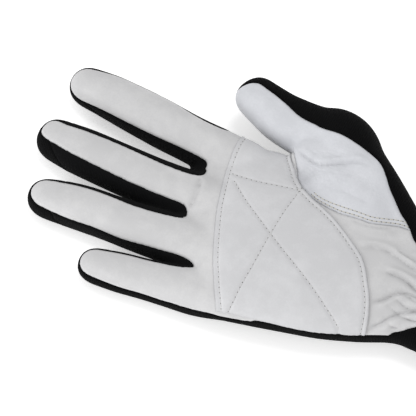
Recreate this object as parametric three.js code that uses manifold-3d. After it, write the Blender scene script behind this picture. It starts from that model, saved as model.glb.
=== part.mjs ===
// Racing glove for the right hand, lying on its back with the palm up.
// Millimetres. +X runs to the wrist, +Y to the thumb side, +Z up out of the palm.
// The origin is on the resting plane, under the middle of the palm.
// The skin is one hollow shell, cut along its seams into the panels that are sewn together.

import * as THREE from 'three';
import { mergeVertices } from 'three/addons/utils/BufferGeometryUtils.js';
import Module from 'manifold-3d';

const wasm = await Module();
wasm.setup();

// Driving dimensions
const wall = 1.8;                 // leather with its backing, and the padded knit
const gap = 0.3;                  // between two panels at a seam
const seat = 0.6;                 // how far the soft back is pressed flat by its own weight
const sideSeam = 13;              // height of the leather's edge along both sides of the palm
const fourchetteFloor = 4.5;      // height of the lower seam between the fingers
const patchLift = 0.3;            // clearance under the quilted patch
const patchThickness = 1.2;
const cuffSeam = 70;              // X of the seam between hand and cuff
const cuffEnd = 106;              // X of the open mouth
const above = 60;                 // higher than every panel
const below = -5;                 // lower than every panel
const flapMargin = 1.4;           // how far a finger's front reaches past its side
const outerFacets = { digit: 14, palm: 28 };
const innerFacets = { digit: 9, palm: 16 };

// Tables: a row for each section, with the columns named in front
function table(columns, rows) {
  const names = columns.split(' ');
  return rows.map((row) => Object.fromEntries(names.map((name, i) => [name, row[i]])));
}

// Fingers: centre line x, y, half width, and height of the top; seamFar and seamNear are the heights
// of the leather's edge on the thumb side and on the little finger side
const fingerColumns = 'x y side top seamFar seamNear';
const fingers = {
  index: {
    tip: 10,
    rows: table(fingerColumns, [
      [-124, 34.3, 10.3, 18.4, 15.6, 11.0],
      [-110, 33.8, 11.3, 19.2, 14.2, 14.4],
      [-95, 31.7, 11.6, 20.0, 14.2, 15.0],
      [-80, 29.7, 11.8, 20.8, 14.2, 15.6],
      [-65, 27.6, 12.0, 22.0, 13.8, 16.4],
      [-50, 25.5, 12.2, 23.2, 13.4, 17.4],
      [-34, 23.0, 11.6, 23.0, 13.0, 18.0],
      [-20, 21.0, 8.0, 17.0, 13.0, 17.0],
    ]),
  },
  middle: {
    tip: 10,
    rows: table(fingerColumns, [
      [-124, 0.3, 10.2, 18.2, 16.4, 15.6],
      [-112, 0.3, 11.3, 19.2, 16.8, 16.6],
      [-96, -0.2, 11.5, 19.9, 17.2, 17.0],
      [-80, -1.0, 11.6, 20.6, 17.4, 17.2],
      [-65, -1.6, 11.9, 21.6, 17.6, 17.2],
      [-50, -2.0, 12.0, 22.8, 17.8, 17.0],
      [-34, -2.5, 12.0, 23.4, 18.0, 17.0],
      [-20, -3.0, 8.0, 17.0, 17.0, 17.0],
    ]),
  },
  ring: {
    tip: 10,
    rows: table(fingerColumns, [
      [-112, -29.0, 9.3, 17.2, 15.8, 11.6],
      [-100, -27.0, 10.2, 18.0, 16.4, 13.6],
      [-86, -26.3, 10.5, 18.6, 16.8, 14.2],
      [-72, -25.8, 10.8, 19.4, 17.0, 14.4],
      [-58, -25.2, 11.2, 20.6, 17.0, 14.8],
      [-44, -25.0, 11.5, 22.0, 16.8, 15.4],
      [-30, -25.0, 11.5, 23.0, 16.8, 16.0],
      [-16, -25.0, 8.0, 17.0, 16.0, 16.0],
    ]),
  },
  little: {
    tip: 9,
    rows: table(fingerColumns, [
      [-77, -51.2, 8.2, 15.4, 13.2, 10.4],
      [-66, -49.5, 8.9, 16.2, 14.2, 11.4],
      [-54, -47.9, 9.2, 17.2, 14.6, 12.0],
      [-42, -46.6, 9.6, 18.6, 15.2, 12.6],
      [-30, -45.3, 10.0, 20.4, 15.6, 13.0],
      [-16, -44.0, 9.4, 21.4, 16.0, 13.2],
      [-2, -42.0, 7.0, 17.0, 16.0, 13.4],
    ]),
  },
};

// Palm and cuff: sections square to X from the low front edge between the fingers to the mouth
const palmRows = table('x near far bottom top squareness', [
  [-66, -13, 22, 4.5, 8.5, 2.2],
  [-61, -20, 30, 2.6, 12.5, 2.4],
  [-56, -25, 35, 1.4, 15.6, 2.6],
  [-52, -28, 36.5, 0.6, 17.6, 2.6],
  [-46, -31, 36.5, 0.0, 20.0, 2.6],
  [-41, -34.5, 36, -0.4, 22.0, 2.6],
  [-35, -39.5, 35.5, -0.8, 24.0, 2.6],
  [-29, -49, 35, -1.2, 25.2, 2.5],
  [-20, -54, 35, -1.4, 26.8, 2.4],
  [-5, -51.5, 36, -1.4, 28.0, 2.4],
  [12, -47.5, 36, -1.4, 28.6, 2.4],
  [28, -43, 33, -1.4, 28.4, 2.4],
  [42, -38, 28, -1.4, 28.0, 2.3],
  [54, -32.5, 25, -1.2, 27.4, 2.3],
  [62, -30.5, 24, -1.0, 27.0, 2.2],
  [76, -33.5, 27.5, -1.2, 30.0, 2.2],
  [cuffEnd, -38, 33, -1.4, 34.0, 2.1],
]);

// Thumb, from its tip over the knuckle and down the ball of the thumb to the wrist
const thumbTip = 9;
const thumbRows = table('x y side bottom top', [
  [-47.5, 57.4, 9.4, 8.4, 26.4],
  [-40, 54.6, 10.7, 7.2, 28.2],
  [-30, 52.0, 11.4, 6.2, 29.4],
  [-15, 50.0, 13.0, 4.4, 31.4],
  [-4, 48.6, 14.2, 2.8, 33.4],
  [6, 43.6, 15.4, 1.4, 34.6],
  [15, 36.0, 15.2, 0.4, 35.0],
  [26, 27.0, 14.6, 0.2, 34.0],
  [38, 18.0, 14.0, 0.6, 31.0],
  [52, 8.0, 11.0, 4.0, 25.0],
]);

// The fleshy inner half of the ball of the thumb
const thenarRows = table('x y side bottom top', [
  [-10, 36, 11, 8, 30.6],
  [4, 30, 15, 6, 33.4],
  [18, 22, 16, 6, 34.0],
  [32, 13, 14, 8, 31.6],
  [46, 5, 10, 12, 25.5],
]);

// Outlines in plan, x and y, each drawn as one smooth curve
const leatherNearEdge = [[30, -60], [46, -46], [52, -34.5], [58, -29.5], [63, -25.5], [68, -23], [78, -22]];
const leatherFarEdge = [[78, -0.5], [68, 0.5], [60, 2.5], [50, 9.5], [46, 13.4]];
const thumbSeam = [[-17.5, 37], [-16.8, 27.8], [-12.7, 21.6], [-7.7, 16.1], [-2, 12.4], [6.9, 10.4],
  [15.3, 9.2], [23, 9], [30, 9.6], [38, 11.6], [46, 13.4]];
const thumbTopSeam = [[41.4, 17.6], [34.6, 24.6], [27.2, 33.3], [20.3, 40.4], [10.6, 45.4], [1.7, 47.6],
  [-14.1, 48.2], [-27.3, 50.8], [-36.9, 54.2], [-46.4, 57.6], [-62, 62]];
const palmFront = [[-52.2, 46], [-52.4, 11], [-49.8, -12], [-43, -25], [-34.9, -36], [-34, -62]];
const patchLeft = [[-43.6, 36.8], [-42.9, 24.3], [-40.7, 7.7], [-35.2, -13.2], [-28.3, -32.8], [-18.2, -53.2], [-14, -62]];
const patchRight = [[52, -60], [47.3, -39.3], [44.3, -30.6], [41.5, -23.2], [37.2, -16.4], [31.5, -7.1],
  [26.2, -2], [19.3, 2.4], [11.3, 6.0], [3.2, 9.6], [-3.4, 12.0], [-8.9, 15.6], [-14, 21], [-18.2, 27.4], [-19, 36.8]];

// Where each strip between two fingers starts behind the tips and ends in the crotch
const fourchettes = [
  { name: 'fourchette_index_middle', far: 'index', near: 'middle', end: -50 },
  { name: 'fourchette_middle_ring', far: 'middle', near: 'ring', end: -47 },
  { name: 'fourchette_ring_little', far: 'ring', near: 'little', end: -32 },
];
const fourchetteStart = 2;        // past the first section of a finger, towards its tip
const fourchetteInset = 4;        // from a finger's centre line to the strip's edge

// Materials
const whiteLeather = new THREE.MeshStandardMaterial({ color: 0xe4e5e6, roughness: 0.55, metalness: 0 });
const patchLeather = new THREE.MeshStandardMaterial({ color: 0xdfe0e2, roughness: 0.55, metalness: 0 });
const blackKnit = new THREE.MeshStandardMaterial({ color: 0x111214, roughness: 0.9, metalness: 0 });

// A closed skin through rings of equal length, with both ends closed by fans
function loft(rings) {
  const count = rings[0].length;
  const points = rings.flat();
  const triangles = [];
  for (let r = 0; r + 1 < rings.length; r++) {
    for (let i = 0; i < count; i++) {
      const a = r * count + i;
      const b = r * count + (i + 1) % count;
      triangles.push(a, b, b + count, a, b + count, a + count);
    }
  }
  const last = (rings.length - 1) * count;
  for (let i = 1; i + 1 < count; i++) {
    triangles.push(0, i + 1, i, last, last + i, last + i + 1);
  }
  const geometry = new THREE.BufferGeometry().setFromPoints(points);
  geometry.setIndex(triangles);
  return toSolid(geometry);
}

function toSolid(geometry) {
  geometry.deleteAttribute('normal');
  geometry.deleteAttribute('uv');
  const merged = mergeVertices(geometry, 1e-5);
  const vertProperties = new Float32Array(merged.attributes.position.array);
  const triVerts = new Uint32Array(merged.index.array);
  const solid = new wasm.Manifold(new wasm.Mesh({ numProp: 3, vertProperties, triVerts }));
  if (solid.volume() > 0) return solid;
  for (let i = 0; i < triVerts.length; i += 3) {
    [triVerts[i], triVerts[i + 1]] = [triVerts[i + 1], triVerts[i]];
  }
  return new wasm.Manifold(new wasm.Mesh({ numProp: 3, vertProperties, triVerts }));
}

function joined(solids) {
  return solids.reduce((sum, solid) => sum.add(solid));
}

// The biggest body of a cut, without the crumbs that lie beyond a seam
function mainBody(solid) {
  return solid.decompose().reduce((best, one) => (one.volume() > best.volume() ? one : best));
}

const signedPower = (value, power) => Math.sign(value) * Math.abs(value) ** power;

// One superellipse ring: centre, unit vector across, half width, half height
function ring(centre, across, side, up, squareness, count) {
  const power = 2 / squareness;
  return Array.from({ length: count }, (_, i) => {
    const angle = (2 * Math.PI * (i + 0.5)) / count;
    const u = side * signedPower(Math.cos(angle), power);
    const v = up * signedPower(Math.sin(angle), power);
    return new THREE.Vector3(centre.x + across.x * u, centre.y + across.y * u, centre.z + v);
  });
}

// A finger or thumb: rings square to its centre line in plan, closed by a rounded tip.
// inset makes it thinner all round (or fatter, when negative).
function digit(rows, tipLength, inset, count) {
  const sections = rows.map((row, i) => {
    const from = rows[Math.max(i - 1, 0)];
    const to = rows[Math.min(i + 1, rows.length - 1)];
    const along = new THREE.Vector2(to.x - from.x, to.y - from.y).normalize();
    const bottom = row.bottom ?? -seat;
    return {
      along,
      centre: new THREE.Vector3(row.x, row.y, (row.top + bottom) / 2),
      across: new THREE.Vector2(-along.y, along.x),
      side: row.side - inset,
      up: (row.top - bottom) / 2 - inset,
    };
  });
  const first = sections[0];
  const tipRings = [80, 58, 38, 19].map((degrees) => {
    const turn = THREE.MathUtils.degToRad(degrees);
    const forward = (tipLength - inset) * Math.sin(turn);
    const shrink = Math.cos(turn) ** 0.85;
    const centre = new THREE.Vector3(
      first.centre.x - first.along.x * forward,
      first.centre.y - first.along.y * forward,
      first.centre.z,
    );
    return ring(centre, first.across, first.side * shrink, first.up * shrink, 2.2, count);
  });
  const body = sections.map((s) => ring(s.centre, s.across, s.side, s.up, 2.3, count));
  return loft([...tipRings, ...body]);
}

// The palm with its cuff: sections square to X. overrun carries the hollow out of the mouth.
function palm(inset, overrun, count) {
  const across = new THREE.Vector2(0, 1);
  const last = palmRows.length - 1;
  return loft(palmRows.map((row, i) => {
    const shift = (i === 0 ? Math.max(inset, 0) : 0) + (i === last ? overrun : 0);
    const centre = new THREE.Vector3(row.x + shift, (row.near + row.far) / 2, (row.top + row.bottom) / 2);
    const side = (row.far - row.near) / 2 - inset;
    const up = Math.max((row.top - row.bottom) / 2 - inset, 0.3);
    return ring(centre, across, side, up, row.squareness, count);
  }));
}

// The whole hand without its hollow, pressed flat at the given height
function hand(inset, overrun, floor, facets) {
  const digits = Object.values(fingers).map((f) => digit(f.rows, f.tip, inset, facets.digit));
  const whole = joined([
    ...digits,
    digit(thumbRows, thumbTip, inset, facets.digit),
    digit(thenarRows, thumbTip, inset, facets.digit),
    palm(inset, overrun, facets.palm),
  ]);
  return whole.intersect(box([-200, -120, floor], [200, 120, above]));
}

function box(low, high) {
  const size = high.map((value, i) => value - low[i]);
  const geometry = new THREE.BoxGeometry(...size);
  geometry.translate(...high.map((value, i) => (value + low[i]) / 2));
  return toSolid(geometry);
}

// A smooth line in plan through a few points
function curve(points, steps) {
  const spline = new THREE.SplineCurve(points.map(([x, y]) => new THREE.Vector2(x, y)));
  return spline.getPoints(steps);
}

// The plan outline moved outwards by a distance
function grown(outline, distance) {
  if (distance === 0) return outline;
  const turn = THREE.ShapeUtils.area(outline) > 0 ? 1 : -1;
  return outline.map((point, i) => {
    const before = outline[(i + outline.length - 1) % outline.length];
    const after = outline[(i + 1) % outline.length];
    const a = point.clone().sub(before).normalize();
    const b = after.clone().sub(point).normalize();
    const normal = new THREE.Vector2(a.y + b.y, -a.x - b.x).normalize();
    const stretch = 1 / Math.max(Math.sqrt((1 + a.dot(b)) / 2), 0.4);
    return point.clone().addScaledVector(normal, turn * distance * stretch);
  });
}

function prism(outline, bottom, top, growth = 0) {
  const shape = new THREE.Shape(grown(outline, growth));
  const geometry = new THREE.ExtrudeGeometry(shape, { depth: top - bottom, bevelEnabled: false });
  geometry.translate(0, 0, bottom);
  return toSolid(geometry);
}

// Everything above a finger's two seams, from past its tip to its root
function fingerFront(finger, growth) {
  const { rows, tip } = finger;
  const last = rows[rows.length - 1];
  const past = { ...rows[0], x: rows[0].x - tip - 3 };
  const root = { ...last, x: last.x + growth };
  const margin = flapMargin + growth;
  return loft([past, ...rows.slice(0, -1), root].map((row) => {
    const far = row.y + row.side + margin;
    const near = row.y - row.side - margin;
    return [
      new THREE.Vector3(row.x, near, row.seamNear - growth),
      new THREE.Vector3(row.x, far, row.seamFar - growth),
      new THREE.Vector3(row.x, far, above),
      new THREE.Vector3(row.x, near, above),
    ];
  }));
}

// The palm leather takes the palm's top, the ulnar side down to its seam and all four finger fronts
function palmFrontRegion(growth) {
  const point = ([x, y]) => new THREE.Vector2(x, y);
  const outline = [
    ...palmFront.map(point),
    ...curve(leatherNearEdge, 12),
    ...curve(leatherFarEdge, 8),
    ...curve(thumbSeam, 20).reverse(),
    point([-18, 46]),
  ];
  const palmTop = prism(outline, sideSeam - growth, above, growth);
  return joined([palmTop, ...Object.values(fingers).map((finger) => fingerFront(finger, growth))]);
}

// The thumb leather: the inner half of the free thumb, and the ball of the thumb above its side seam
function thumbRegion(growth) {
  const inner = [new THREE.Vector2(-62, 36), new THREE.Vector2(-30, 36)];
  const outline = [...curve(thumbSeam, 20), ...curve(thumbTopSeam, 20), ...inner];
  const free = [
    ...curve(thumbTopSeam, 20).filter((point) => point.x < -12),
    ...inner,
    new THREE.Vector2(-13, 37),
  ];
  const ball = prism(outline, sideSeam - growth, above, growth);
  return ball.add(prism(free, below, above, growth));
}

// A line beside a finger's centre line, from its tip to the crotch
function besideCentre(finger, end, offset) {
  const inside = finger.rows.filter((row) => row.x < end);
  const points = inside.map((row) => new THREE.Vector2(row.x, row.y + offset));
  points.unshift(new THREE.Vector2(points[0].x - fourchetteStart, points[0].y));
  points.push(new THREE.Vector2(end, points[points.length - 1].y));
  return points;
}

// Between two fingers, above the lower seam
function fourchetteRegion({ far, near, end }, growth) {
  const farLine = besideCentre(fingers[far], end, -fourchetteInset);
  const nearLine = besideCentre(fingers[near], end, fourchetteInset);
  return prism([...farLine, ...nearLine.reverse()], fourchetteFloor - growth, above, growth);
}

const shell = hand(0, 0, 0, outerFacets).subtract(hand(wall, 10, wall, innerFacets));
const handSide = box([-200, -120, below], [cuffSeam - gap / 2, 120, above]);
const cuffSide = box([cuffSeam + gap / 2, -120, below], [200, 120, above]);
const handShell = shell.intersect(handSide);

const knitShell = handShell.subtract(palmFrontRegion(gap).add(thumbRegion(gap)));

const group = new THREE.Group();

function addPanel(name, solid, material) {
  const { vertProperties, triVerts } = mainBody(solid).getMesh();
  const geometry = new THREE.BufferGeometry();
  geometry.setAttribute('position', new THREE.BufferAttribute(vertProperties, 3));
  geometry.setIndex(new THREE.BufferAttribute(triVerts, 1));
  geometry.computeVertexNormals();
  const mesh = new THREE.Mesh(geometry, material);
  mesh.name = name;
  group.add(mesh);
}

addPanel('palm_leather', handShell.intersect(palmFrontRegion(0)).subtract(thumbRegion(gap)), whiteLeather);
addPanel('thumb_leather', handShell.intersect(thumbRegion(0)), whiteLeather);

// The quilted patch lies on the palm leather from side seam to side seam
const patchOutline = [...curve(patchLeft, 12), ...curve(patchRight, 24)];
const patchArea = prism(patchOutline, sideSeam + 2, above);
const patchTop = hand(-patchLift - patchThickness, 0, 0, outerFacets);
const patchSkin = patchTop.subtract(hand(-patchLift, 0, 0, outerFacets));
addPanel('palm_patch', patchSkin.intersect(patchArea).subtract(thumbRegion(gap)), patchLeather);

let handBack = knitShell;
for (const strip of fourchettes) {
  addPanel(strip.name, knitShell.intersect(fourchetteRegion(strip, 0)), blackKnit);
  handBack = handBack.subtract(fourchetteRegion(strip, gap));
}
addPanel('hand_back', handBack, blackKnit);
addPanel('cuff', shell.intersect(cuffSide), blackKnit);

export default group;
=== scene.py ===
import math

import bmesh
import bpy
import numpy as np
from mathutils import Matrix, Vector, noise
from mathutils.bvhtree import BVHTree
from mathutils.kdtree import KDTree


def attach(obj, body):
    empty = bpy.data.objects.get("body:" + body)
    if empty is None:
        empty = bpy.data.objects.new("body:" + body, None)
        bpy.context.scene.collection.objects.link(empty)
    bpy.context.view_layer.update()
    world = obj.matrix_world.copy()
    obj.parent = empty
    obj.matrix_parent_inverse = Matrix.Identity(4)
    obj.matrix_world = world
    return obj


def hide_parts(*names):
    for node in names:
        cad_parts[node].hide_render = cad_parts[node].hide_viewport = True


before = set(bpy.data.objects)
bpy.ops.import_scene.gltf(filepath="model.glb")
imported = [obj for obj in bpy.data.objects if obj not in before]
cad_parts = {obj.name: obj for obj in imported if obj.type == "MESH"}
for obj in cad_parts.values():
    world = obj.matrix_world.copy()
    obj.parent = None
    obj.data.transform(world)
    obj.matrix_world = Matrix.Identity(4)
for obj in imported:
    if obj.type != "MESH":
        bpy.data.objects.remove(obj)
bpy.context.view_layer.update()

# The glove lies palm up: fingers to -X, thumb to +Y, resting plane at Z 0. Tables are in millimetres.
mm = 0.001

camera = {"azimuth": 25, "elevation": 57, "distance": 900, "lens": 169.3, "aim": (-47.43, 2.95, 0)}

skin = {"voxel": 1.1, "smoothing": 6, "tipAngles": (80, 66, 52, 38, 25, 12), "digitSides": 40,
        "palmSides": 72, "thickness": 1.2, "cuffSeam": 70, "cuffEnd": 106}

# Fingers: x, y of the centre line, half width, top, and the heights of the leather's edge on the
# thumb side (far) and on the little finger side (near); drop: how far the edge comes down at the tip
fingers = {
    "index": {"tip": 10, "drop": 0.3, "rows": [
        (-124, 35.4, 9.4, 18.4, 18.6, 10.2), (-110, 34.4, 10.5, 19.2, 16.4, 12.2),
        (-95, 32.1, 11.1, 20.0, 16.6, 13.7), (-80, 29.9, 11.2, 20.8, 17.0, 15.0),
        (-65, 27.5, 10.7, 22.0, 20.6, 16.2), (-50, 25.0, 11.0, 23.2, 21.8, 18.2),
        (-34, 22.8, 11.2, 23.0, 21.0, 18.4), (-20, 21.0, 8.0, 17.0, 15.4, 17.0)]},
    "middle": {"tip": 10, "drop": 2.0, "rows": [
        (-124, 2.1, 10.0, 18.2, 17.8, 16.4), (-112, 1.2, 11.2, 19.2, 18.3, 17.0),
        (-96, 0.3, 11.5, 19.9, 18.9, 17.2), (-80, -0.8, 11.6, 20.6, 20.0, 17.5),
        (-65, -1.4, 11.8, 21.6, 21.6, 18.3), (-50, -2.0, 12.0, 22.8, 22.2, 20.0),
        (-34, -2.5, 12.0, 23.4, 21.0, 20.0), (-20, -3.0, 8.0, 17.0, 18.3, 17.0)]},
    "ring": {"tip": 11.2, "drop": 0.8, "rows": [
        (-112, -28.0, 9.3, 17.2, 16.4, 13.0), (-100, -26.6, 10.2, 18.0, 17.5, 12.4),
        (-86, -25.9, 10.4, 18.6, 18.6, 12.6), (-72, -25.8, 10.9, 19.4, 20.6, 13.2),
        (-58, -25.2, 11.2, 20.6, 21.4, 15.0), (-44, -25.0, 11.5, 22.0, 20.6, 17.4),
        (-30, -25.0, 11.5, 23.0, 19.2, 17.4), (-16, -25.0, 8.0, 17.0, 17.1, 16.0)]},
    "little": {"tip": 9, "lift": 0.28, "drop": 0.6, "rows": [
        (-77, -50.5, 8.2, 15.4, 14.8, 10.4), (-66, -49.2, 8.9, 16.2, 15.5, 10.0),
        (-54, -47.8, 9.1, 17.2, 16.8, 10.0), (-42, -46.5, 9.6, 18.6, 19.0, 10.4),
        (-30, -45.3, 10.0, 20.4, 19.0, 12.2), (-16, -44.0, 9.4, 21.4, 17.4, 13.6),
        (-2, -42.0, 7.0, 17.0, 17.0, 14.4)]},
}

# Palm and cuff: x, near and far side, bottom, top, squareness
palmRows = [
    (-62, -13, 22, 4.5, 8.5, 2.2), (-58.5, -20, 28, 2.6, 12.5, 2.4), (-55, -25, 32, 1.4, 15.6, 2.6),
    (-51.5, -28, 34.2, 0.6, 17.8, 2.6), (-46, -31, 34.4, 0.0, 20.0, 2.6), (-41, -33.5, 34.2, -0.4, 22.0, 2.6),
    (-35, -37.5, 34, -0.8, 24.0, 2.6), (-29, -48, 34.2, -1.2, 25.2, 2.5), (-20, -54, 35, -1.4, 26.8, 2.4),
    (-5, -51.9, 36, -1.4, 28.0, 2.55), (12, -48.3, 36, -1.4, 28.6, 2.6), (28, -44.2, 33, -1.4, 28.4, 2.6),
    (42, -39.2, 28, -1.4, 28.0, 2.5), (54, -33.6, 25, -1.2, 27.4, 2.4), (62, -32.3, 24, -1.0, 27.0, 2.2),
    (76, -35, 27.5, -1.2, 30.0, 2.2), (106, -38, 33, -1.4, 34.0, 2.1), (110, -38.5, 33.5, -1.4, 34.4, 2.1)]

# Thumb and the inner half of its ball: x, y, half width, bottom, top
thumb = {
    "tip": 9,
    "rows": [(-47.8, 57.5, 10.6, 11.4, 26.2), (-40.4, 54.4, 11.2, 10.8, 27.8), (-30.3, 51.0, 12.3, 9.8, 29.0),
             (-15.1, 49.3, 13.0, 6.2, 31.0), (-5.1, 49.3, 15.2, 3.4, 33.2), (2.2, 45.9, 15.7, 1.8, 34.6),
             (11.1, 38.1, 14.1, 0.4, 35.0), (23, 28.2, 14.4, 0.2, 34.0), (37.3, 17.4, 14.0, 0.6, 31.0),
             (52, 8.0, 11.2, 4.0, 25.0)],
    "ball": [(-10, 36, 11, 8, 30.6), (4, 30, 15, 6, 33.4), (18, 22, 16, 6, 34.0), (32, 13, 14, 8, 31.6),
             (46, 5, 10, 12, 25.5)],
}

# Seams seen from above, x and y
seams = {
    "side": 13.0,            # height of the leather's edge along both sides of the palm
    "strip": 4.5,            # height of the strips' lower seam between the fingers
    "nearEdge": [(30, -60), (46, -46), (52, -37), (56, -32.3), (60, -30.2), (65, -27.6), (69, -26.2),
                 (78, -26)],
    "farEdge": [(78, -0.5), (68, 0.5), (60, 2.5), (50, 9.5), (46, 13.4)],
    "thumb": [(-20.9, 38), (-17.8, 31.2), (-14.4, 26.0), (-10.7, 20.4), (-6.1, 15.2), (-1.4, 12.0), (3, 10.3),
              (9.6, 9.0), (15.9, 8.1), (22.3, 7.8), (28.7, 7.9), (33.5, 9.4), (40.2, 12.3), (46, 13.6)],
    "thumbTop": [(46, 13.6), (42.9, 16.1), (39.1, 18.5), (34.8, 22.6), (30.4, 27), (26.4, 32.3), (23.3, 35.8),
                 (20.2, 38.1), (12.7, 40.7), (3.8, 43.3), (-2, 44.5), (-10, 45.4), (-19.6, 47.1), (-24.8, 49),
                 (-30.8, 52.4), (-36.4, 55.2), (-42.4, 57.8), (-47.6, 60.0), (-51.5, 59.2), (-55, 56.6),
                 (-62, 50)],
    "front": [(-50.9, 46), (-50.9, 11), (-49.6, -12), (-42, -26), (-32.5, -35), (-31.5, -62)],
}

patch = {
    "left": [(-44.2, 38), (-44, 27), (-43.2, 16), (-41, 5.2), (-37.4, -8.8), (-34.1, -18.1), (-30.7, -26.9),
             (-27.2, -35.2), (-24.2, -41), (-20.8, -47.5), (-16.9, -54), (-13, -62)],
    "right": [(50, -60), (47, -42), (45.8, -34.4), (44.1, -28.8), (42, -24.1), (38.6, -18.2), (35.3, -12.8),
              (32, -8.7), (28.1, -5.5), (23.9, -2.5), (19.6, 0.5), (13.8, 4.2), (8.7, 6.9), (5.1, 8.5),
              (1, 10.2),
              (-3.3, 12.6), (-7.5, 15.5), (-11.3, 19.8), (-14.8, 24.9), (-18.9, 31.4), (-21, 38)],
    "above": 0.8,            # the patch ends this far above the side seam
    "lift": 0.9,
    "edgeRow": 2.1,          # the stitch row runs this far inside the edge
    "pitch": 2.4,
    "quilting": {
        "across": [(-38.6, 10.6), (-34.7, 10.1), (-25.7, 10.3), (-14.8, 11.7), (-6.2, 12.6)],
        "first": [(-36, 6.6), (-28.1, -0.4), (-20.2, -6.4), (-4.7, -17.3), (4.3, -22.8), (13.3, -28.2),
                  (21.6, -33.3), (27.4, -36.8), (35.3, -41)],
        "second": [(-6.6, 14.2), (-7.5, 6.2), (-8.4, -1), (-8.9, -9.4), (-9.4, -19.5), (-9.9, -31.7),
                   (-10.7, -40.7), (-11.2, -48.9), (-12, -53)],
    },
}


def smoothLine(points, steps=6):
    # a smooth line through the rows of a table
    rows = np.array(points, float)
    ends = np.vstack([2 * rows[0] - rows[1], rows, 2 * rows[-1] - rows[-2]])
    line = []
    for i in range(1, len(ends) - 2):
        a, b, c, d = ends[i - 1:i + 3]
        for t in np.arange(steps) / steps:
            line.append(0.5 * (2 * b + (c - a) * t + (2 * a - 5 * b + 4 * c - d) * t**2
                               + (3 * b - a - 3 * c + d) * t**3))
    return np.array(line + [rows[-1]])


def smoothStep(low, high, value):
    t = np.clip((value - low) / (high - low), 0, 1)
    return t * t * (3 - 2 * t)


def softMax(a, b, softness):
    return (a + b + np.sqrt((a - b)**2 + softness**2)) / 2


def bump(distance, width):
    return np.exp(-(distance / width)**2)


def ringPoints(centre, across, side, up, squareness, around):
    angle = np.arange(around + 1) * 2 * math.pi / around
    u = side * np.sign(np.cos(angle)) * np.abs(np.cos(angle))**(2 / squareness)
    v = up * np.sign(np.sin(angle)) * np.abs(np.sin(angle))**(2 / squareness)
    return np.column_stack([centre[0] + across[0] * u, centre[1] + across[1] * u, centre[2] + v])


def addTube(bm, rings):
    # a grid rolled up through the rings, its long edges and its two end points merged
    around = len(rings[0]) - 1
    grid = bmesh.ops.create_grid(bm, x_segments=around, y_segments=len(rings) - 1, size=1)
    for vert, point in zip(grid["verts"], np.concatenate(rings)):
        vert.co = point
    bmesh.ops.remove_doubles(bm, verts=grid["verts"], dist=1e-5)


def addDigit(bm, rows, tip, squareness):
    # columns x, y, half width, bottom, top; closed by a rounded tip, its other end buried in the palm
    around = skin["digitSides"]
    rows = smoothLine(rows)
    along = np.gradient(rows[:, :2], axis=0)
    along /= np.linalg.norm(along, axis=1)[:, None]
    across = np.column_stack([-along[:, 1], along[:, 0]])
    middle = np.column_stack([rows[:, 0], rows[:, 1], (rows[:, 3] + rows[:, 4]) / 2])
    up = (rows[:, 4] - rows[:, 3]) / 2
    rings = []
    for degrees in (90, *skin["tipAngles"]):
        turn = math.radians(degrees)
        forward = np.append(along[0], 0) * tip * math.sin(turn)
        shrink = max(math.cos(turn), 0)**0.85
        rings.append(ringPoints(middle[0] - forward, across[0], rows[0, 2] * shrink, up[0] * shrink,
                                squareness - 0.1, around))
    for i in range(len(rows)):
        rings.append(ringPoints(middle[i], across[i], rows[i, 2], up[i], squareness, around))
    rings.append(ringPoints(middle[-1], across[-1], 0, 0, 2, around))
    addTube(bm, rings)


def addPalm(bm, rows, around):
    rows = smoothLine(rows)
    rings = []
    for i, (x, near, far, bottom, top, squareness) in enumerate(rows):
        centre = (x, (near + far) / 2, (bottom + top) / 2)
        rings.append(ringPoints(centre, (0, 1), (far - near) / 2, (top - bottom) / 2, squareness, around))
        if i in (0, len(rows) - 1):
            rings.insert(len(rings) - (i == 0), ringPoints(centre, (0, 1), 0, 0, 2, around))
    addTube(bm, rings)


def remeshed(bm, voxel):
    # one skin round everything that overlaps
    mesh = bpy.data.meshes.new("rough")
    bm.to_mesh(mesh)
    bm.free()
    rough = bpy.data.objects.new("rough", mesh)
    bpy.context.scene.collection.objects.link(rough)
    modifier = rough.modifiers.new("remesh", "REMESH")
    modifier.mode = "VOXEL"
    modifier.voxel_size = voxel
    depsgraph = bpy.context.evaluated_depsgraph_get()
    result = bpy.data.meshes.new_from_object(rough.evaluated_get(depsgraph))
    bpy.data.objects.remove(rough)
    bpy.data.meshes.remove(mesh)
    bm = bmesh.new()
    bm.from_mesh(result)
    bpy.data.meshes.remove(result)
    return bm


def positions(bm):
    return np.array([vert.co for vert in bm.verts])


def normals(bm):
    bm.normal_update()
    return np.array([vert.normal for vert in bm.verts])


def moveAlong(bm, direction, height):
    for vert, (x, y, z) in zip(bm.verts, positions(bm) + direction * height[:, None]):
        vert.co = (x, y, z)


def planField(outline, x, y):
    # distance in plan to an outline, positive inside
    best = np.full(len(x), 1e9)
    inside = np.zeros(len(x), bool)
    for (ax, ay), (bx, by) in zip(outline, np.roll(outline, -1, axis=0)):
        dx, dy = bx - ax, by - ay
        t = np.clip(((x - ax) * dx + (y - ay) * dy) / (dx * dx + dy * dy + 1e-12), 0, 1)
        best = np.minimum(best, np.hypot(x - ax - t * dx, y - ay - t * dy))
        if ay != by:
            inside ^= ((ay > y) != (by > y)) & (x < dx * (y - ay) / dy + ax)
    return np.where(inside, best, -best)


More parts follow.
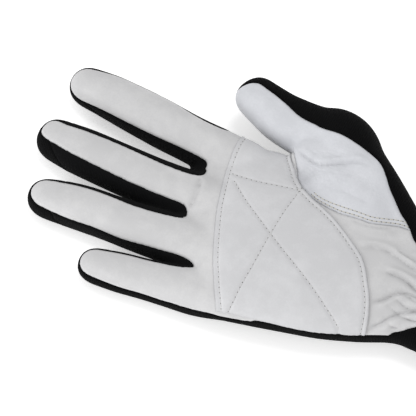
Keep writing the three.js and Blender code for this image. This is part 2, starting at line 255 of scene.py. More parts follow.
def lineField(line, x, y):
    # signed distance in plan to an open line (positive on its left), and the place along it, 0 to 1
    lengths = np.append(0, np.cumsum(np.linalg.norm(np.diff(line, axis=0), axis=1)))
    best = np.full(len(x), 1e9)
    sign = np.ones(len(x))
    place = np.zeros(len(x))
    for i in range(len(line) - 1):
        (ax, ay), (dx, dy) = line[i], line[i + 1] - line[i]
        t = np.clip(((x - ax) * dx + (y - ay) * dy) / (dx * dx + dy * dy), 0, 1)
        distance = np.hypot(x - ax - t * dx, y - ay - t * dy)
        closer = distance < best
        best[closer] = distance[closer]
        sign[closer] = np.sign(dx * (y - ay) - dy * (x - ax))[closer]
        place[closer] = ((lengths[i] + t * (lengths[i + 1] - lengths[i])) / lengths[-1])[closer]
    return best * np.where(sign == 0, 1, sign), place


def shifted(line, distance):
    # the line moved to its left
    along = np.gradient(line, axis=0)
    along /= np.linalg.norm(along, axis=1)[:, None]
    return line + distance * np.column_stack([-along[:, 1], along[:, 0]])


def columnAt(rows, column, x):
    order = np.argsort(rows[:, 0])
    return np.interp(x, rows[order, 0], rows[order, column])


def fingerField(finger, x, y, z):
    # positive on a finger's leather front, which comes down over the tip
    rows = smoothLine(finger["rows"])
    centre, side = columnAt(rows, 1, x), columnAt(rows, 2, x)
    across = np.clip((y - centre) / (2 * side) + 0.5, 0, 1)
    far, near = columnAt(rows, 4, x), columnAt(rows, 5, x)
    front = smoothStep(rows[0, 0] + 4, rows[0, 0] - 8, x)
    front *= smoothStep(0.1, 0.45, across) * smoothStep(1, 0.7, across)
    edge = near + (far - near) * across - finger["drop"] * front
    return np.minimum(np.minimum(z - edge, side + 1.4 - np.abs(y - centre)), rows[-1, 0] - x)


def sideSeam(x, y):
    # height of the palm leather's edge along its two sides
    near = 3.4 * smoothStep(-30, -8, x) - 0.9 * smoothStep(0, 24, x)
    far = 1.6 + 4.6 * smoothStep(-24, -34, x) * smoothStep(24, 31, y)
    return seams["side"] + np.where(y < 0, near, far)


def palmField(x, y, z):
    outline = np.vstack([seams["front"], smoothLine(seams["nearEdge"]), smoothLine(seams["farEdge"]),
                         smoothLine(seams["thumb"])[::-1], [(-18, 46)]])
    field = np.minimum(z - sideSeam(x, y), planField(outline, x, y))
    for finger in fingers.values():
        field = softMax(field, fingerField(finger, x, y, z), 2.4)
    return field


def thumbField(x, y, z):
    inner = np.array([(-62, 42), (-40, 39.5), (-28, 37)], float)
    top = smoothLine(seams["thumbTop"])
    ball = planField(np.vstack([smoothLine(seams["thumb"]), top, inner]), x, y)
    rows = smoothLine(thumb["rows"])
    bottom, height = columnAt(rows, 3, x), columnAt(rows, 4, x) - columnAt(rows, 3, x)
    free = planField(np.vstack([top[top[:, 0] < -12], inner, [(-13, 37)]]), x, y)
    free = np.minimum(free, z - bottom - 0.16 * height)
    return softMax(np.minimum(z - seams["side"], ball), free, 0.7)


def stripField(strip, x, y, z):
    # positive between two fingers, above a lower seam that rises to meet the leather at the tips
    lines = []
    floors = []
    for name, inset in ((strip["far"], -4), (strip["near"], 4)):
        rows = smoothLine(fingers[name]["rows"])
        rows = rows[rows[:, 0] < strip["end"]]
        tip = rows[0, 0]
        line = np.vstack([(tip - 6, rows[0, 1] + inset), rows[:, :2] + (0, inset),
                          (strip["end"], rows[-1, 1] + inset)])
        lines.append(line)
        edge = columnAt(rows, 5 if inset < 0 else 4, x)
        rise = smoothStep(tip + 14, tip - 3, x)
        floors.append((line, seams["strip"] + (edge + 0.5 - seams["strip"]) * rise))
    middle = (columnAt(lines[0], 1, x) + columnAt(lines[1], 1, x)) / 2
    floor = np.where(y > middle, floors[0][1], floors[1][1])
    return np.minimum(planField(np.vstack([lines[0], lines[1][::-1]]), x, y), z - floor)


def patchOutline():
    return np.vstack([smoothLine(patch["left"]), smoothLine(patch["right"])])


def patchField(x, y, z):
    return np.minimum(planField(patchOutline(), x, y), z - sideSeam(x, y) - patch["above"])


def setLayer(bm, name, values):
    layer = bm.verts.layers.float.get(name) or bm.verts.layers.float.new(name)
    for vert, value in zip(bm.verts, values):
        vert[layer] = value
    return layer


def cutAlong(bm, field, panel, old, new):
    # edges along a field's zero line; what lies inside becomes a panel of its own
    for vert in bm.verts:
        if abs(vert[field]) < 0.08:
            vert[field] = 0.0
    for edge in list(bm.edges):
        a, b = edge.verts
        if a[field] * b[field] < 0 and any(face[panel] == old for face in edge.link_faces):
            crossing = bmesh.utils.edge_split(edge, a, a[field] / (a[field] - b[field]))[1]
            crossing[field] = 0.0
    onLine = [vert for vert in bm.verts
              if vert[field] == 0 and any(face[panel] == old for face in vert.link_faces)]
    bmesh.ops.connect_verts(bm, verts=onLine)
    for face in bm.faces:
        if face[panel] == old and sum(vert[field] for vert in face.verts) > 0:
            face[panel] = new


def tidyPanels(bm, panel):
    # crumbs of a panel beyond a seam go to the panel around them
    seen = set()
    islands = {}
    for start in bm.faces:
        if start in seen:
            continue
        seen.add(start)
        island, queue = [], [start]
        while queue:
            face = queue.pop()
            island.append(face)
            for edge in face.edges:
                for other in edge.link_faces:
                    if other not in seen and other[panel] == start[panel]:
                        seen.add(other)
                        queue.append(other)
        islands.setdefault(start[panel], []).append(island)
    for label, found in islands.items():
        for island in sorted(found, key=len)[:-1]:
            around = [other[panel] for face in island for edge in face.edges
                      for other in edge.link_faces if other[panel] != label]
            for face in island:
                face[panel] = max(set(around), key=around.count) if around else label
    return {label: len(max(found, key=len)) for label, found in islands.items()}


def nearPoints(points, reach, where):
    # distance to the nearest of some seam points that face the same way
    tree = KDTree(len(points))
    for i, (point, _) in enumerate(points):
        tree.insert(point, i)
    tree.balance()
    found = np.full(len(where), reach, float)
    for i, vert in enumerate(where):
        for _, index, distance in tree.find_range(vert.co, reach):
            if distance < found[i] and vert.normal.dot(points[index][1]) > 0:
                found[i] = distance
    return found


def borderPoints(bm, panel):
    return [(vert.co.copy(), vert.normal.copy()) for vert in bm.verts
            if len({face[panel] for face in vert.link_faces}) > 1]


# The skin: fingers, thumb, ball of the thumb and palm become one surface

rough = bmesh.new()
for name, finger in fingers.items():
    rows = [(x, y, side, -0.6 + finger.get("lift", 0) * max(x + 30, 0), top)
            for x, y, side, top, _, _ in finger["rows"]]
    addDigit(rough, rows, finger["tip"], 2.3)
addDigit(rough, thumb["rows"], thumb["tip"], 2.4)
addDigit(rough, thumb["ball"], thumb["tip"], 2.3)
addPalm(rough, palmRows, skin["palmSides"])
bmesh.ops.recalc_face_normals(rough, faces=rough.faces)
body = remeshed(rough, skin["voxel"])
for _ in range(skin["smoothing"]):
    bmesh.ops.smooth_vert(body, verts=body.verts, factor=0.5,
                          use_axis_x=True, use_axis_y=True, use_axis_z=True)
bmesh.ops.bisect_plane(body, geom=body.verts[:] + body.edges[:] + body.faces[:], dist=0.05,
                       plane_co=(skin["cuffEnd"], 0, 0), plane_no=(1, 0, 0), clear_outer=True)
for vert in body.verts:
    vert.co.z = (vert.co.z + math.sqrt(vert.co.z**2 + 0.5)) / 2 - 0.1
print("skin:", len(body.faces), "faces")

# Panels: the seams are cut into the skin

strips = [{"name": "fourchette_index_middle", "far": "index", "near": "middle", "end": -48.6},
          {"name": "fourchette_middle_ring", "far": "middle", "near": "ring", "end": -47},
          {"name": "fourchette_ring_little", "far": "ring", "near": "little", "end": -29}]


def panelFields(bm):
    x, y, z = positions(bm).T
    fields = {"cuff": x - skin["cuffSeam"],
              "thumb_leather": thumbField(x, y, z),
              "palm_leather": palmField(x, y, z)}
    for strip in strips:
        fields[strip["name"]] = stripField(strip, x, y, z)
    return fields, patchField(x, y, z)


def refine(bm, chosen):
    edges = {edge for vert, near in zip(bm.verts, chosen) if near for edge in vert.link_edges}
    bmesh.ops.subdivide_edges(bm, edges=list(edges), cuts=1, use_grid_fill=True, smooth=0)


fields, onPatch = panelFields(body)
body.normal_update()
labels = np.zeros(len(body.verts), int)
for i, field in enumerate(fields.values()):
    labels[(labels == 0) & (field > 0)] = i + 1
body.verts.index_update()
border = []
for edge in body.edges:
    a, b = edge.verts
    if labels[a.index] != labels[b.index]:
        border.append(((a.co + b.co) / 2, a.normal.copy()))
x, y, z = positions(body).T
direction = normals(body)
wrist = (x > 44) & (x < 80) & (direction[:, 2] > -0.2)
web = (x > -22) & (x < 24) & (y > 10) & (y < 40) & (direction[:, 2] > 0)
refine(body, (nearPoints(border, 3.2, body.verts) < 3.2) | wrist | web | (x > skin["cuffSeam"] - 2))
print("refined:", len(body.faces), "faces")

fields, onPatch = panelFields(body)
patchLayer = setLayer(body, "patch", onPatch)
layers = {name: setLayer(body, name, values) for name, values in fields.items()}
panel = body.faces.layers.int.new("panel")
names = ["hand_back", *fields]
for name, layer in layers.items():
    cutAlong(body, layer, panel, 0, names.index(name))
print("panels:", tidyPanels(body, panel))

# Seams, folds and gathers pressed into the skin, with painted shade laid into the folds, dents and the
# gathers' valleys

# each fold's shade sets how dark the painted shade along its crease is
folds = [
    {"line": [(-19.5, 32.6), (-17.5, 32), (-15.4, 30.9), (-11.5, 28.7), (-7.3, 27.2), (-3.9, 27.2),
              (1.4, 28.6), (6.4, 30.9), (13.2, 33.3), (19, 34)],
     "depth": 1.2, "width": 0.8, "roll": 0.7, "reach": 2.6, "side": 1, "shade": 0.9},
    {"line": [(-3, 18.8), (1.9, 17.9), (8.8, 17.4), (15.9, 16.8), (21.6, 16.3), (27, 16.4)],
     "depth": 0.8, "width": 2.2, "roll": 0.3, "reach": 5, "side": 1, "shade": 0.2},
    {"line": [(19, 6.6), (22.2, 6.4), (26.3, 6.2), (30.7, 6.8), (35.3, 8.4), (40, 11)],
     "depth": 0.8, "width": 0.6, "roll": 0.3, "reach": 1.8, "side": -1, "shade": 0.9},
    {"line": [(27, -5), (30, -3.9), (34.8, -1.3), (41.2, -0.6), (47.7, -2.1), (53.4, -3.8), (60, -4.4),
              (71, -4)],
     "depth": 1.4, "width": 0.9, "roll": 0.9, "reach": 2.6, "side": 1, "shade": 0.8},
    {"line": [(42, -10.8), (46, -10.5), (50.2, -10.2), (54.7, -11), (61, -13.4), (71, -14)],
     "depth": 1.8, "width": 0.85, "roll": 1.0, "reach": 2.4, "side": 1, "shade": 1},
    {"line": [(43.5, -28), (46, -25), (48.7, -22.5), (52, -18.4), (56.2, -16), (62, -16), (71, -17)],
     "depth": 1.8, "width": 0.85, "roll": 1.0, "reach": 2.4, "side": -1, "shade": 1},
    {"line": [(45.5, -37), (48, -34.6), (51.2, -31.6), (54.3, -27.9), (58, -24.6), (64, -21), (71, -20)],
     "depth": 1.6, "width": 0.8, "roll": 0.9, "reach": 2.2, "side": -1, "shade": 1},
    {"line": [(43, 2.4), (46.4, 1.1), (50.4, 0.3), (54.5, -0.5), (61, -0.8), (71, 0)],
     "depth": 1.3, "width": 0.7, "roll": 0.7, "reach": 2.0, "side": -1, "shade": 0.9},
    {"line": [(-51.6, 4.5), (-50.6, 1.2), (-49.6, -1.9), (-49.2, -6), (-49.4, -10), (-50, -13)],
     "depth": 1.7, "width": 0.9, "roll": 0.5, "reach": 2.4, "side": 1, "shade": 0.9},
]
# each dent's shade sets the painted shade in the dent
dents = [{"place": (-8.5, 23), "radius": 5, "depth": 1.9, "shade": 0.3},
         {"place": (-2, 25), "radius": 8, "depth": 0.5, "shade": 0},
         {"place": (-61.5, -0.3), "radius": 3.5, "depth": 0.35, "shade": 0.12}]
wrinkles = {"place": (-2, 24), "radius": 13, "depth": 0.3, "length": 8, "spacing": 1.5}
gathers = {"pitch": 4.4, "depth": 2.2, "start": 48, "full": 64, "pull": 0.9, "knit": 0.3, "waver": 1.3}
seamShape = {"leather": {"depth": 0.42, "width": 0.42, "roll": 0.16},
             "knit": {"depth": 0.28, "width": 0.5, "roll": 0.05}}
ribs = {"pitch": 2.6, "depth": 0.22, "hem": 97.5, "hemRise": 0.45}

body.normal_update()
seamPoints = borderPoints(body, panel)
seamDistance = nearPoints(seamPoints, 6, body.verts)
x, y, z = positions(body).T
direction = normals(body)
upper = smoothStep(0.1, 0.5, direction[:, 2])
leatherNames = {names.index("palm_leather"), names.index("thumb_leather")}
onLeather = np.array([any(face[panel] in leatherNames for face in vert.link_faces) for vert in body.verts])
height = np.zeros(len(x))
creaseShade = np.zeros(len(x))
for chosen, shape in ((onLeather, seamShape["leather"]), (~onLeather, seamShape["knit"])):
    profile = shape["roll"] * bump(seamDistance - 1.5, 0.9)
    profile -= shape["depth"] * bump(seamDistance, shape["width"])
    height[chosen] += profile[chosen]
for fold in folds:
    distance, place = lineField(smoothLine(fold["line"]), x, y)
    fade = smoothStep(0, 0.2, place) * smoothStep(0, 0.2, 1 - place) * upper
    fade *= bump(np.maximum(np.abs(distance) - 8, 0), 2)
    height += fade * (fold["roll"] * bump(distance * fold["side"] - 0.8 * fold["reach"], 0.7 * fold["reach"])
                      - fold["depth"] * np.exp(-np.abs(distance) / fold["width"]))
    # painted shade along the fold's crease
    shade = fold["shade"] * np.exp(-np.abs(distance) / (0.6 * fold["width"]))
    creaseShade = np.maximum(creaseShade, fade * shade)
for dent in dents:
    dip = upper * bump(np.hypot(x - dent["place"][0], y - dent["place"][1]), dent["radius"])
    height -= dent["depth"] * dip
    # painted shade in the dent, on the leather only
    creaseShade = np.maximum(creaseShade, dent["shade"] * dip * onLeather)
length, spacing = wrinkles["length"], wrinkles["spacing"]
fine = np.array([noise.noise(Vector((px / length, py / spacing, pz / spacing)))
                 for px, py, pz in zip(x, y, z)])
fromWrinkles = np.hypot(x - wrinkles["place"][0], y - wrinkles["place"][1])
creased = upper * bump(fromWrinkles, wrinkles["radius"]) * onLeather
height -= wrinkles["depth"] * creased * (1 - smoothStep(0, 0.3, np.abs(fine)))
waver = np.array([noise.noise(Vector((px / 11, py / 8, pz / 8))) for px, py, pz in zip(x, y, z)])
strength = smoothStep(gathers["start"], gathers["full"], x) * (1 - smoothStep(69.5, 78, x))
strength *= np.where(onLeather, 1, gathers["knit"])
strength *= smoothStep(0, 3, seamDistance + 3 * smoothStep(62, 69, x))
angle = math.pi * (np.where(direction[:, 2] > 0, y, -y) + (x - 70) * 0.08) / gathers["pitch"]
angle += gathers["waver"] * waver
pleat = np.abs(np.sin(angle))**0.5
height += gathers["depth"] * strength * (pleat - 0.66)
# painted shade in the valleys of the gathers, on the leather only
creaseShade = np.maximum(creaseShade, 0.9 * strength * (1 - smoothStep(0, 0.5, pleat)) * onLeather)
height -= gathers["pull"] * bump(x - skin["cuffSeam"], 4)
soft = np.array([noise.noise(Vector((px / 21, py / 17, pz / 17 + 5))) for px, py, pz in zip(x, y, z)])
height += 0.35 * soft * smoothStep(0, 4, z)

# Cuff: ribs run to the mouth, counted by the length round a section, and end in a folded hem
turns = np.arctan2((z - 16) * 2.1, y + 2.5)
table = np.linspace(-math.pi, math.pi, 400)
lengths = np.cumsum(np.hypot(np.sin(table), np.cos(table) / 2.1)) * 35 * (table[1] - table[0])
ribCount = round(lengths[-1] / ribs["pitch"])
ribPhase = np.interp(turns, table, lengths / lengths[-1]) * 2 * math.pi * ribCount
ribbed = smoothStep(skin["cuffSeam"] + 2, skin["cuffSeam"] + 8, x)
ribbed *= 1 - smoothStep(ribs["hem"] - 1, ribs["hem"], x)
height += ribs["depth"] * ribbed * np.cos(ribPhase)
height += ribs["hemRise"] * smoothStep(ribs["hem"] - 0.4, ribs["hem"] + 1.2, x)
height -= 0.4 * bump(x - ribs["hem"], 0.8)

height *= np.where(z < 0.6, 0.35, 1)
moveAlong(body, direction, height)
for vert in body.verts:
    vert.co.z = max(vert.co.z, 0.0)
# seam attribute: darker within about half a millimetre of the panels' edges, plus the painted shade of the
# folds, dents and gathers
setLayer(body, "seam", np.maximum(np.exp(-seamDistance / 0.45), creaseShade))
print("seams pressed in")


def panelCopy(bm, keep):
    # the faces of one panel alone
    piece = bm.copy()
    panelOf = piece.faces.layers.int["panel"]
    gone = [face for face in piece.faces if face[panelOf] != keep]
    bmesh.ops.delete(piece, geom=gone, context="FACES")
    return piece


def finishPiece(name, bm, material, thickness=0, stands=None):
    bmesh.ops.scale(bm, vec=(mm, mm, mm), verts=bm.verts)
    mesh = bpy.data.meshes.new(name)
    bm.to_mesh(mesh)
    bm.free()
    mesh.shade_smooth()
    piece = bpy.data.objects.new(name, mesh)
    bpy.context.scene.collection.objects.link(piece)
    mesh.materials.append(material)
    if thickness:
        wall = piece.modifiers.new("wall", "SOLIDIFY")
        wall.thickness = thickness * mm
        wall.offset = -1
        wall.use_rim = True
    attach(piece, "root")
    if stands:
        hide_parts(stands)
    return piece


# Materials

def makeNode(tree, kind, inputs=None, **settings):
    node = tree.nodes.new(kind)
    for key, value in settings.items():
        setattr(node, key, value)
    for key, value in (inputs or {}).items():
        if isinstance(value, bpy.types.NodeSocket):
            tree.links.new(value, node.inputs[key])
        else:
            node.inputs[key].default_value = value
    return node


def calc(tree, operation, a, b=0.0, c=0.0):
    return makeNode(tree, "ShaderNodeMath", {0: a, 1: b, 2: c}, operation=operation).outputs[0]


def noiseAt(tree, place, scale, detail, roughness=0.5):
    inputs = {"Vector": place, "Scale": scale, "Detail": detail, "Roughness": roughness}
    return makeNode(tree, "ShaderNodeTexNoise", inputs).outputs["Fac"]


def mixed(tree, amount, first, second):
    # a colour between two others, each a socket or three numbers
    colours = [c if isinstance(c, bpy.types.NodeSocket) else (*c, 1) for c in (first, second)]
    inputs = {0: amount, 6: colours[0], 7: colours[1]}
    return makeNode(tree, "ShaderNodeMix", inputs, data_type="RGBA").outputs[2]


def newGroup(name, inputs, outputs):
    tree = bpy.data.node_groups.new(name, "ShaderNodeTree")
    for label, kind, value in inputs:
        socket = tree.interface.new_socket(name=label, in_out="INPUT", socket_type=kind)
        if value is not None:
            socket.default_value = value
    for label in outputs:
        tree.interface.new_socket(name=label, in_out="OUTPUT", socket_type="NodeSocketFloat")
    return tree, tree.nodes.new("NodeGroupInput").outputs, tree.nodes.new("NodeGroupOutput").inputs


def leatherGrain():
    # pebbles and pores of the grain side, with faint stretch lines and a slow change of shade
    tree, given, out = newGroup("leatherGrain", [("Position", "NodeSocketVector", None),
                                                 ("Pebble", "NodeSocketFloat", 1500.0)], ["Height", "Shade"])
    bend = makeNode(tree, "ShaderNodeTexNoise", {"Vector": given["Position"], "Scale": 420.0, "Detail": 3.0})
    shifts = {0: bend.outputs["Color"], 1: (0.0012, 0.0012, 0.0012), 2: given["Position"]}
    place = makeNode(tree, "ShaderNodeVectorMath", shifts, operation="MULTIPLY_ADD").outputs[0]
    pebbles = makeNode(tree, "ShaderNodeTexVoronoi", {"Vector": place, "Scale": given["Pebble"]},
                       feature="SMOOTH_F1").outputs["Distance"]
    fine = noiseAt(tree, place, 3600.0, 2.0)
    lines = noiseAt(tree, place, 190.0, 5.0, 0.62)
    slow = noiseAt(tree, given["Position"], 46.0, 3.0)
    height = calc(tree, "MULTIPLY_ADD", fine, 0.25, calc(tree, "MULTIPLY", pebbles, -0.7))
    tree.links.new(calc(tree, "MULTIPLY_ADD", lines, 0.9, height), out["Height"])
    mottled = calc(tree, "MULTIPLY_ADD", calc(tree, "SUBTRACT", lines, 0.5), 0.9, slow)
    tree.links.new(calc(tree, "MULTIPLY_ADD", pebbles, -0.3, mottled), out["Shade"])
    return tree


def knitWeave():
    # rows of small loops, seen square on from the side that a surface faces
    tree, given, out = newGroup("knitWeave", [("Position", "NodeSocketVector", None),
                                              ("Normal", "NodeSocketVector", None),
                                              ("Loops", "NodeSocketFloat", 1100.0)], ["Height"])
    place = makeNode(tree, "ShaderNodeSeparateXYZ", {0: given["Position"]}).outputs
    facing = makeNode(tree, "ShaderNodeSeparateXYZ", {0: given["Normal"]}).outputs
    total = None
    weights = None
    for side, along, across in ((2, 0, 1), (1, 0, 2), (0, 1, 2)):
        weight = calc(tree, "POWER", calc(tree, "ABSOLUTE", facing[side]), 4.0)
        u = calc(tree, "MULTIPLY", calc(tree, "MULTIPLY", place[along], given["Loops"]), 2 * math.pi)
        v = calc(tree, "MULTIPLY", calc(tree, "MULTIPLY", place[across], given["Loops"]), 2 * math.pi * 1.25)
        sway = calc(tree, "ABSOLUTE", calc(tree, "SINE", calc(tree, "MULTIPLY", v, 0.5)))
        lean = calc(tree, "MULTIPLY_ADD", sway, 2.4, u)
        loops = calc(tree, "MULTIPLY", calc(tree, "SINE", lean), 0.5)
        column = calc(tree, "ABSOLUTE", calc(tree, "COSINE", calc(tree, "MULTIPLY", v, 0.5)))
        value = calc(tree, "MULTIPLY", calc(tree, "MULTIPLY_ADD", column, -0.6, loops), weight)
        total = value if total is None else calc(tree, "ADD", total, value)
        weights = weight if weights is None else calc(tree, "ADD", weights, weight)
    tree.links.new(calc(tree, "DIVIDE", total, weights), out["Height"])
    return tree


groups = {"grain": leatherGrain(), "weave": knitWeave()}


def newMaterial(name):
    material = bpy.data.materials.new(name)
    material.use_nodes = True
    return material, material.node_tree, material.node_tree.nodes["Principled BSDF"]


def addRelief(tree, surface, height, strength, distance):
    relief = makeNode(tree, "ShaderNodeBump", {"Height": height, "Strength": strength, "Distance": distance})
    tree.links.new(relief.outputs[0], surface.inputs["Normal"])


def leather(name, look):
    material, tree, surface = newMaterial(name)
    place = tree.nodes.new("ShaderNodeTexCoord").outputs["Object"]
    grain = makeNode(tree, "ShaderNodeGroup", node_tree=groups["grain"])
    tree.links.new(place, grain.inputs["Position"])
    grain.inputs["Pebble"].default_value = look["pebble"]
    shade = makeNode(tree, "ShaderNodeMapRange", {0: grain.outputs["Shade"], 1: 0.25, 2: 0.7}).outputs[0]
    base = mixed(tree, shade, look["dark"], look["light"])
    # the seam attribute darkens the colour toward the edge colour: near the panels' edges, and as painted
    # shade in the folds, dents and gathers
    seam = makeNode(tree, "ShaderNodeAttribute", attribute_name="seam").outputs["Fac"]
    edge = mixed(tree, calc(tree, "MULTIPLY", seam, look["edgeDarkAndCreaseShade"]), base, look["edge"])
    tree.links.new(edge, surface.inputs["Base Color"])
    tree.links.new(calc(tree, "MULTIPLY_ADD", shade, -0.1, look["roughness"]), surface.inputs["Roughness"])
    surface.inputs["Sheen Weight"].default_value = 0.08
    surface.inputs["Specular IOR Level"].default_value = 0.35
    addRelief(tree, surface, grain.outputs["Height"], look["relief"], 0.0001)
    return material


def knit(name, look):
    material, tree, surface = newMaterial(name)
    coordinates = tree.nodes.new("ShaderNodeTexCoord").outputs
    weave = makeNode(tree, "ShaderNodeGroup", node_tree=groups["weave"])
    tree.links.new(coordinates["Object"], weave.inputs["Position"])
    tree.links.new(coordinates["Normal"], weave.inputs["Normal"])
    weave.inputs["Loops"].default_value = look["loops"]
    slow = noiseAt(tree, coordinates["Object"], 60.0, 4.0)
    depth = makeNode(tree, "ShaderNodeMapRange", {0: weave.outputs["Height"], 1: -1.0, 2: 0.5}).outputs[0]
    shade = calc(tree, "MULTIPLY_ADD", slow, 0.5, calc(tree, "MULTIPLY", depth, 0.7))
    base = mixed(tree, shade, look["dark"], look["light"])
    tree.links.new(base, surface.inputs["Base Color"])
    tree.links.new(calc(tree, "MULTIPLY_ADD", depth, -0.12, look["roughness"]), surface.inputs["Roughness"])
    surface.inputs["Sheen Weight"].default_value = look["sheen"]
    surface.inputs["Specular IOR Level"].default_value = 0.04
    addRelief(tree, surface, weave.outputs["Height"], 0.8, 0.00016)
    return material


def thread(name, colour):
    # two plies twisted round each other
    material, tree, surface = newMaterial(name)
    place = tree.nodes.new("ShaderNodeTexCoord").outputs["Object"]
    plies = makeNode(tree, "ShaderNodeTexWave", {"Vector": place, "Scale": 900.0, "Distortion": 1.0},
                     bands_direction="DIAGONAL")
    base = mixed(tree, plies.outputs["Fac"], [c * 0.82 for c in colour], colour)
    tree.links.new(base, surface.inputs["Base Color"])
    surface.inputs["Roughness"].default_value = 0.6
    addRelief(tree, surface, plies.outputs["Fac"], 0.5, 0.00005)
    return material


finishes = {
    "palm": leather("whiteLeather", {
        "light": (0.61, 0.608, 0.612), "dark": (0.548, 0.547, 0.553), "edge": (0.32, 0.32, 0.33),
        "edgeDarkAndCreaseShade": 0.28, "roughness": 0.56, "relief": 0.7, "pebble": 1500.0}),
    # the thumb's white leather made lighter than the palm's: painted light against the shade on the thumb's
    # near side
    "thumb": leather("thumbLeatherPaintedLighter", {
        "light": (0.64, 0.65, 0.682), "dark": (0.575, 0.585, 0.615), "edge": (0.34, 0.34, 0.35),
        "edgeDarkAndCreaseShade": 0.28, "roughness": 0.55, "relief": 0.8, "pebble": 1350.0}),
    # the patch's darker edge colour is the painted shadow along its raised edge
    "patch": leather("patchLeather", {
        "light": (0.618, 0.62, 0.634), "dark": (0.567, 0.568, 0.581), "edge": (0.28, 0.28, 0.29),
        "edgeDarkAndCreaseShade": 0.6, "roughness": 0.58, "relief": 0.7, "pebble": 1600.0}),
    "knit": knit("blackKnit", {
        "light": (0.006, 0.0061, 0.0063), "dark": (0.001, 0.001, 0.0012), "loops": 1000.0,
        "roughness": 0.9, "sheen": 0.006}),
    "strip": knit("blackMesh", {
        "light": (0.007, 0.0072, 0.0075), "dark": (0.003, 0.003, 0.0035), "loops": 1250.0,
        "roughness": 0.92, "sheen": 0.02}),
    "cuff": knit("ribbedKnit", {
        "light": (0.009, 0.0092, 0.0095), "dark": (0.002, 0.002, 0.0022), "loops": 850.0,
        "roughness": 0.9, "sheen": 0.02}),
    "threadWhite": thread("whiteThread", (0.62, 0.62, 0.62)),
    "threadCream": thread("creamThread", (0.6, 0.575, 0.5)),
    "threadBlack": thread("blackThread", (0.02, 0.02, 0.021)),
    # needle holes: a grey colour painting the shade inside each hole
    "hole": thread("needleHoleShade", (0.2, 0.195, 0.185)),
}

# Quilted patch: a second layer over the palm, its edges rolled, darkened as painted shadow along them, and
# its stitch lines pressed in

outline = patchOutline()
leftRow = shifted(smoothLine(patch["left"], 12), patch["edgeRow"])
rightRow = shifted(smoothLine(patch["right"], 12), patch["edgeRow"])
quiltLines = {name: smoothLine(points, 12) for name, points in patch["quilting"].items()}

overlay = panelCopy(body, names.index("palm_leather"))
palmSurface = overlay.copy()
onPatch = overlay.verts.layers.float["patch"]
away = [face for face in overlay.faces if max(vert[onPatch] for vert in face.verts) < -2]
bmesh.ops.delete(overlay, geom=away, context="FACES")
bmesh.ops.subdivide_edges(overlay, edges=[edge for edge in overlay.edges if edge.calc_length() > 0.6],
                          cuts=1, use_grid_fill=True, smooth=0)
x, y, z = positions(overlay).T
setLayer(overlay, "patch", patchField(x, y, z))
overlayPanel = overlay.faces.layers.int["panel"]
for face in overlay.faces:
    face[overlayPanel] = 0
onPatch = overlay.verts.layers.float["patch"]
cutAlong(overlay, onPatch, overlayPanel, 0, 1)
bmesh.ops.delete(overlay, geom=[face for face in overlay.faces if face[overlayPanel] == 0], context="FACES")
rim = [(vert.co.copy(), vert.normal.copy()) for vert in overlay.verts if vert.is_boundary]
direction = normals(overlay)
edgeDistance = nearPoints(rim, 4, overlay.verts)
x, y, z = positions(overlay).T
stitched = np.full(len(x), 99.0)
for line in (leftRow, rightRow, *quiltLines.values()):
    stitched = np.minimum(stitched, np.abs(lineField(line, x, y)[0]))
height = patch["lift"] - 0.35 * np.exp(-edgeDistance / 0.5)
height += 0.3 * (1 - bump(stitched, 5)) - 0.38 * bump(stitched, 0.75)
moveAlong(overlay, direction, height)
# painted shadow along the patch's raised edge, carried by the seam attribute
setLayer(overlay, "seam", np.exp(-edgeDistance / 0.35))
patchSurface = overlay.copy()
print("patch:", len(overlay.faces), "faces")

# Stitches: short threads between needle holes, each hole a flat grey disc of painted shade, along lines laid
# on the surface from above

stitches = {"length": 1.55, "width": 0.28, "rise": 0.2, "hole": 0.34}


def laidOn(surface, line):
    tree = BVHTree.FromBMesh(surface)
    hits = [tree.ray_cast(Vector((px, py, 80)), Vector((0, 0, -1))) for px, py in line]
    return [(hit[0], hit[1]) for hit in hits if hit[0] is not None and hit[1].z > 0.15]


def alongSurface(points, pitch):
    # places a pitch apart, each with its normal and the direction of the line
    places = []
    travelled = 0
    for (a, normal), (b, _) in zip(points, points[1:]):
        step = (b - a).length
        if step > pitch * 2:
            continue
        while travelled < step:
            places.append((a.lerp(b, travelled / step), normal, (b - a).normalized()))
            travelled += pitch
        travelled -= step
    return places


def addStitches(threads, holes, surface, line, pitch):
    places = alongSurface(laidOn(surface, line), pitch / 2)
    for i, (point, normal, along) in enumerate(places):
        side = normal.cross(along).normalized()
        up = along.cross(side)
        turn = Matrix((along, side, up)).transposed().to_4x4()
        if i % 2:
            size = Matrix.Diagonal((stitches["length"] / 2, stitches["width"], stitches["rise"], 1))
            bmesh.ops.create_uvsphere(threads, u_segments=8, v_segments=6, radius=1,
                                      matrix=Matrix.Translation(point) @ turn @ size)
        # the grey disc at each needle hole is painted shade in the hole
        elif holes is not None:
            size = Matrix.Diagonal((stitches["hole"], stitches["hole"] * 0.8, 0.09, 1))
            bmesh.ops.create_uvsphere(holes, u_segments=8, v_segments=4, radius=1,
                                      matrix=Matrix.Translation(point) @ turn @ size)


def denseLine(line, spacing=0.3):
    lengths = np.append(0, np.cumsum(np.linalg.norm(np.diff(line, axis=0), axis=1)))
    places = np.arange(0, lengths[-1], spacing)
    return np.column_stack([np.interp(places, lengths, line[:, 0]), np.interp(places, lengths, line[:, 1])])


quiltThread, quiltHoleShade = bmesh.new(), bmesh.new()
for line in (leftRow, rightRow, *quiltLines.values()):
    addStitches(quiltThread, quiltHoleShade, patchSurface, denseLine(line), patch["pitch"])
thumbSurface = panelCopy(body, names.index("thumb_leather"))
thumbThread, thumbHoleShade = bmesh.new(), bmesh.new()
seamLine = smoothLine(seams["thumb"], 12)
seamLine = seamLine[seamLine[:, 0] > -2]
for offset in (1.0, 2.6):
    addStitches(thumbThread, thumbHoleShade, thumbSurface, denseLine(shifted(seamLine, offset)), 2.1)
print("stitches:", len(quiltThread.faces) + len(thumbThread.faces), "faces")

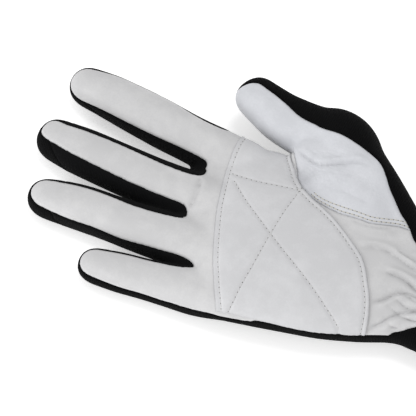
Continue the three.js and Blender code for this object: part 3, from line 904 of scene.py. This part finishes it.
finishPiece("palm_skin", palmSurface, finishes["palm"], skin["thickness"], "palm_leather")
finishPiece("thumb_skin", thumbSurface, finishes["thumb"], skin["thickness"],
            "thumb_leather")
quilted = finishPiece("quilted_patch", overlay, finishes["patch"], 0.85, "palm_patch")
finishPiece("knit_back", panelCopy(body, 0), finishes["knit"], skin["thickness"], "hand_back")
for strip in strips:
    finishPiece(strip["name"].replace("fourchette", "strip"), panelCopy(body, names.index(strip["name"])),
                finishes["strip"], skin["thickness"], strip["name"])
finishPiece("ribbed_cuff", panelCopy(body, names.index("cuff")), finishes["cuff"],
            skin["thickness"] + 0.4, "cuff")
finishPiece("patch_stitches", quiltThread, finishes["threadWhite"])
finishPiece("patch_needle_hole_shade", quiltHoleShade, finishes["hole"])
finishPiece("thumb_stitches", thumbThread, finishes["threadCream"])
finishPiece("thumb_needle_hole_shade", thumbHoleShade, finishes["hole"])
body.free()
print("pieces finished")

# Floor, lights and camera

studio = {"floor": (0.93, 0.93, 0.93), "glow": 0.47, "world": 0.63, "key": 5.5, "keyPlace": (0.1, 0.32, 1.4),
          "keySize": 0.6, "fill": 8.0, "fillPlace": (-0.75, -1.05, 0.5), "fillSize": 0.8}


def areaLight(name, place, power, size, aim):
    light = bpy.data.lights.new(name, "AREA")
    light.shape = "DISK"
    light.size = size
    light.energy = power
    lamp = bpy.data.objects.new(name, light)
    bpy.context.scene.collection.objects.link(lamp)
    lamp.location = place
    lamp.rotation_euler = (Vector(aim) - Vector(place)).to_track_quat("-Z", "Y").to_euler()


scene = bpy.context.scene
floorMesh = bmesh.new()
bmesh.ops.create_grid(floorMesh, x_segments=1, y_segments=1, size=3,
                      matrix=Matrix.Translation((0, 0, -0.0002)))
sheet = bpy.data.meshes.new("floor")
floorMesh.to_mesh(sheet)
floorMesh.free()
floor = bpy.data.objects.new("floor", sheet)
scene.collection.objects.link(floor)
floorMaterial, _, floorSurface = newMaterial("floorWhite")
floorSurface.inputs["Base Color"].default_value = (*studio["floor"], 1)
floorSurface.inputs["Roughness"].default_value = 1.0
floorSurface.inputs["Specular IOR Level"].default_value = 0.0
floorSurface.inputs["Emission Color"].default_value = (1, 1, 1, 1)
floorSurface.inputs["Emission Strength"].default_value = studio["glow"]
sheet.materials.append(floorMaterial)

world = bpy.data.worlds.new("studio")
scene.world = world
world.use_nodes = True
world.node_tree.nodes["Background"].inputs["Color"].default_value = (1, 1, 1, 1)
world.node_tree.nodes["Background"].inputs["Strength"].default_value = studio["world"]
areaLight("key", studio["keyPlace"], studio["key"], studio["keySize"], (0, 0, 0))
areaLight("fill", studio["fillPlace"], studio["fill"], studio["fillSize"], (0, 0, 0))
scene.view_settings.view_transform = "Standard"

elevation, azimuth = math.radians(camera["elevation"]), math.radians(camera["azimuth"])
back = Vector((math.sin(azimuth) * math.cos(elevation), -math.cos(azimuth) * math.cos(elevation),
               math.sin(elevation)))
lens = bpy.data.cameras.new("camera")
lens.lens = camera["lens"]
lens.sensor_width = 36
lens.clip_start = 0.05
eye = bpy.data.objects.new("camera", lens)
scene.collection.objects.link(eye)
eye.location = Vector(camera["aim"]) * mm + back * camera["distance"] * mm
eye.rotation_euler = back.to_track_quat("Z", "Y").to_euler()
scene.camera = eye

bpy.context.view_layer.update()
